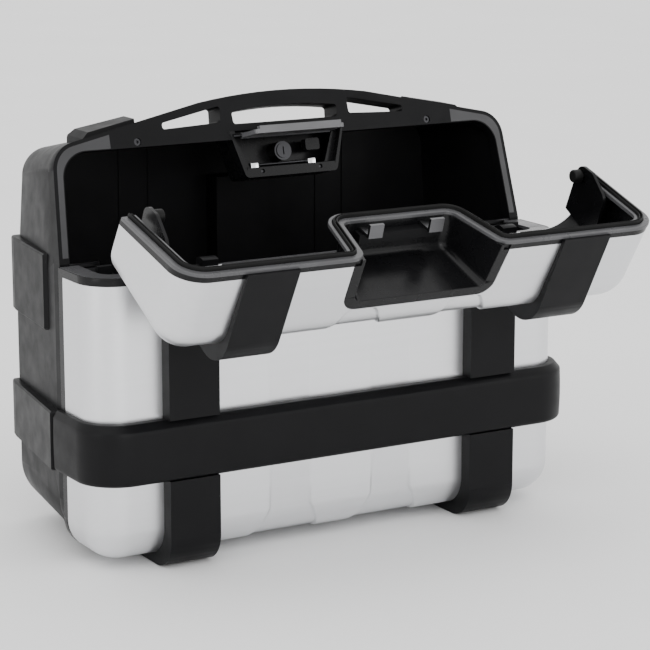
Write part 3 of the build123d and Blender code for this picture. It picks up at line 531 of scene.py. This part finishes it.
def sweep_on_lean(name, path, profile):
    """Sweep a closed (g, n) profile along an (x, v) path of the closed flap: g is to the path's left and
    n to the front."""
    normals = path_normals(path)
    points = []
    for (x, v), normal in zip(path, normals):
        for g, n in profile:
            points.append(opened(lean_place(x + normal.x * g, v + normal.y * g, n)))
    count, rows = len(profile), len(path)
    faces = []
    for i in range(rows - 1):
        for j in range(count):
            k = (j + 1) % count
            faces.append((i * count + j, i * count + k, (i + 1) * count + k, (i + 1) * count + j))
    faces += [tuple(range(count)), tuple(reversed(range((rows - 1) * count, rows * count)))]
    piece = new_piece(name, points, faces)
    tidy_mesh(piece)
    return piece


def make_rim():
    middle = rim_path(-7.0)
    flange = [(7.0, 7.0), (7.0, 4.6), (6.6, 4.1), (1.6, 4.0), (1.2, 4.3), (1.2, 6.2),
              (-3.8, 6.2), (-3.8, 4.3), (-4.2, 3.6), (-6.5, 3.6), (-7.0, 4.1), (-7.0, 7.0)]
    rim = sweep_on_lean("flap_rim_moulding", middle, flange)
    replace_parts(finish_piece(rim, "flap", "rim_plastic", 30.0), "flap_rim_flange")
    lips = [(1.0, 6.1), (1.0, 2.4), (0.7, 1.0), (0.2, 0.7), (-0.3, 1.0), (-0.5, 3.4),
            (-1.6, 3.4), (-1.9, 1.6), (-2.4, 1.2), (-2.9, 1.6), (-3.2, 3.0), (-3.6, 6.1)]
    seal = sweep_on_lean("flap_seal_lips", middle, lips)
    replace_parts(finish_piece(seal, "flap", "rubber", 30.0), "flap_seal")


# ---------------------------------------------------------------- lock details

def rounded_block(low, high, rounding):
    """A block between two corners in metres, with all its edges rounded."""
    work = bmesh.new()
    bmesh.ops.create_cube(work, size=1.0)
    centre, size = (low + high) / 2, high - low
    for vertex in work.verts:
        vertex.co = Vector([centre[i] + vertex.co[i] * size[i] for i in range(3)])
    bmesh.ops.bevel(work, geom=work.edges[:], offset=rounding * MM, segments=4, profile=0.5, affect="EDGES")
    mesh = bpy.data.meshes.new("block")
    work.to_mesh(mesh)
    work.free()
    return mesh


def lean_block(name, low, high, rounding):
    """A rounded block given by its (x, v, n) corners on the lean."""
    mesh = rounded_block(Vector(low) * MM, Vector(high) * MM, rounding)
    for vertex in mesh.vertices:
        vertex.co = lean_place(vertex.co.x / MM, vertex.co.y / MM, vertex.co.z / MM)
    mesh.name = name
    piece = bpy.data.objects.new(name, mesh)
    bpy.context.scene.collection.objects.link(piece)
    return piece


def lean_bar(name, x, v, n_low, n_high, radius):
    """A round bar along the lean's normal with a rounded nose."""
    taper, sides = 0.6, 24
    rings = [(n_low, radius), (n_high - taper, radius), (n_high - taper * 0.3, radius - taper * 0.3),
             (n_high, radius - taper)]
    points = []
    for n, r in rings:
        points += [lean_place(x + r * math.cos(a), v + r * math.sin(a), n)
                   for a in (math.tau * i / sides for i in range(sides))]
    faces = []
    for i in range(len(rings) - 1):
        low, high = i * sides, (i + 1) * sides
        faces += [(low + j, low + (j + 1) % sides, high + (j + 1) % sides, high + j) for j in range(sides)]
    faces += [tuple(range(sides)), tuple(range((len(rings) - 1) * sides, len(rings) * sides))]
    piece = new_piece(name, points, faces)
    tidy_mesh(piece)
    return piece


BOLT_X = 31.0


def make_bolt_pieces():
    """Chromed bolt heads with a thin cross rod and dark noses."""
    first = None
    for side, word in ((-1, "left"), (1, "right")):
        x = side * BOLT_X
        head = lean_block("bolt_head_" + word, (x - 4.2, 65.8, -21.8), (x + 4.2, 77.2, -14.6), 0.9)
        finish_piece(head, "bolts", "chrome")
        nose = lean_bar("bolt_nose_" + word, x, 67.3, -15.0, -1.5, 1.95)
        finish_piece(nose, "bolts", "dark_metal")
        first = first or head
    rod = lean_block("bolt_cross_rod", (-27.5, 73.6, -21.6), (27.5, 76.4, -19.0), 1.1)
    finish_piece(rod, "bolts", "dark_metal")
    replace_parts(first, "lock_bolts")


# ---------------------------------------------------------------- camera, floor and lights

def make_camera():
    azimuth, elevation, distance = 0.52986, 0.21624, 2.28376
    target = place(25.87, 0.0, 187.17)
    flat = math.cos(elevation)
    view = Vector((math.sin(azimuth) * flat, math.cos(azimuth) * flat, -math.sin(elevation)))
    data = bpy.data.cameras.new("camera")
    data.sensor_width = 36.0
    data.lens = 133.11
    camera = bpy.data.objects.new("camera", data)
    camera.location = target - distance * view
    camera.rotation_mode = "QUATERNION"
    camera.rotation_quaternion = view.to_track_quat("-Z", "Y")
    bpy.context.scene.collection.objects.link(camera)
    bpy.context.scene.camera = camera


def area_light(name, place_at, towards, size, power):
    data = bpy.data.lights.new(name, "AREA")
    data.shape = "RECTANGLE"
    data.size, data.size_y = size
    data.energy = power
    light = bpy.data.objects.new(name, data)
    light.location = place_at
    light.rotation_mode = "QUATERNION"
    light.rotation_quaternion = (Vector(towards) - Vector(place_at)).to_track_quat("-Z", "Y")
    bpy.context.scene.collection.objects.link(light)


def make_studio():
    world = bpy.data.worlds.new("studio")
    world.use_nodes = True
    world.node_tree.nodes["Background"].inputs["Color"].default_value = (1, 1, 1, 1)
    world.node_tree.nodes["Background"].inputs["Strength"].default_value = 1.5
    bpy.context.scene.world = world
    sun = bpy.data.lights.new("top_sun", "SUN")
    sun.energy = 0.8
    sun.angle = math.radians(70)
    lamp = bpy.data.objects.new("top_sun", sun)
    lamp.rotation_mode = "QUATERNION"
    lamp.rotation_quaternion = Vector((0.25, 0.45, -1.0)).to_track_quat("-Z", "Y")
    bpy.context.scene.collection.objects.link(lamp)
    area_light("front_card", (-0.35, -2.4, 0.75), (0, 0, 0.2), (0.9, 1.3), 14)
    area_light("left_card", (-2.2, -0.5, 0.7), (-0.1, 0, 0.2), (0.8, 1.4), 6)
    area_light("right_card", (1.7, -1.9, 0.8), (0.1, 0, 0.2), (0.7, 1.2), 6)
    material, shader = start_material("floor_paper", (0.86, 0.86, 0.86), 0.7)
    vary_color(material, shader, object_noise(material, 3.0), (0.85, 0.85, 0.85), (0.87, 0.87, 0.87))
    size, depth = 8.0, -0.0004      # just under the case's feet
    points = [(-size, -size, depth), (size, -size, depth), (size, size, depth), (-size, size, depth)]
    floor = new_piece("floor", points, [(0, 1, 2, 3)])
    floor.data.materials.append(material)


make_camera()
make_studio()
dress_cad_nodes()
make_cover_skin()
make_flap_skin()
make_band()
make_rim()
make_bolt_pieces()
